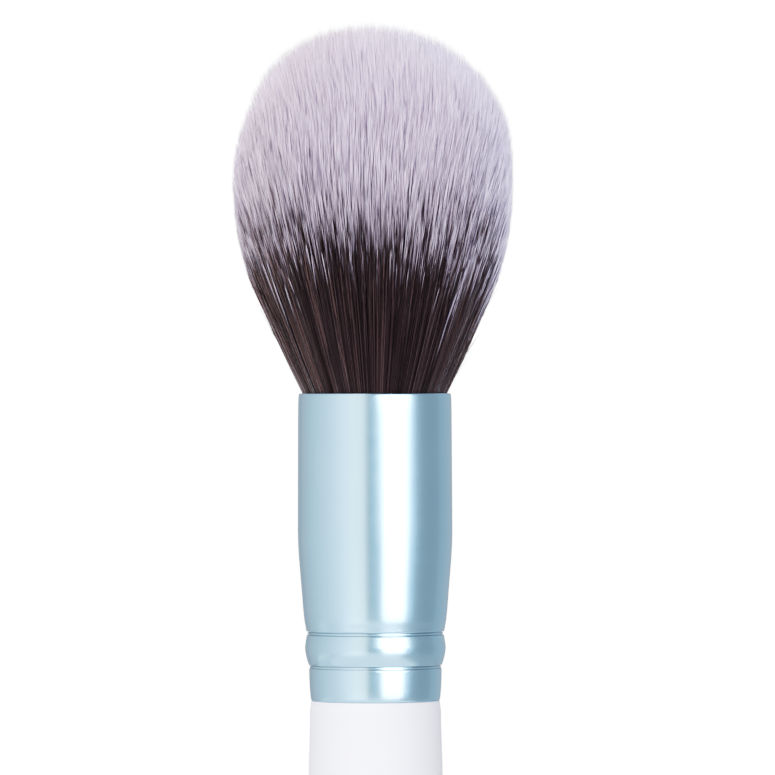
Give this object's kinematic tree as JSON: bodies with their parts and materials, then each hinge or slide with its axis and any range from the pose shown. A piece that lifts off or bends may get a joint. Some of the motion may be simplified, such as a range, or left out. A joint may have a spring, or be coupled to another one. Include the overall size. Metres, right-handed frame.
{
  "type": "blush brush",
  "caption": "Round domed make-up brush: a soft, tapered fibre head set in a rolled aluminium ferrule, which is crimped to a turned and lacquered wooden handle.",
  "frame": {"origin": "centre of the handle's flat end", "axes": "+Z along the brush, from the handle's end towards the fibre head"},
  "size_m": [0.0328, 0.0328, 0.1846],
  "materials": {
    "fibre": "fine synthetic fibre, dark brown at the root and lilac-white at the tip",
    "ferrule_metal": "satin, pale teal anodised",
    "handle_lacquer": "white satin lacquer over turned wood",
    "resin": "set clear amber resin",
    "thread": "twisted cotton thread",
    "glue": "dried adhesive"
  },
  "bodies": {
    "root": {"bristles": "fibre", "ferrule": "ferrule_metal", "handle": "handle_lacquer", "resin_plug": "resin", "binding_thread": "thread", "tenon_glue": "glue"}
  },
  "joints": []
}
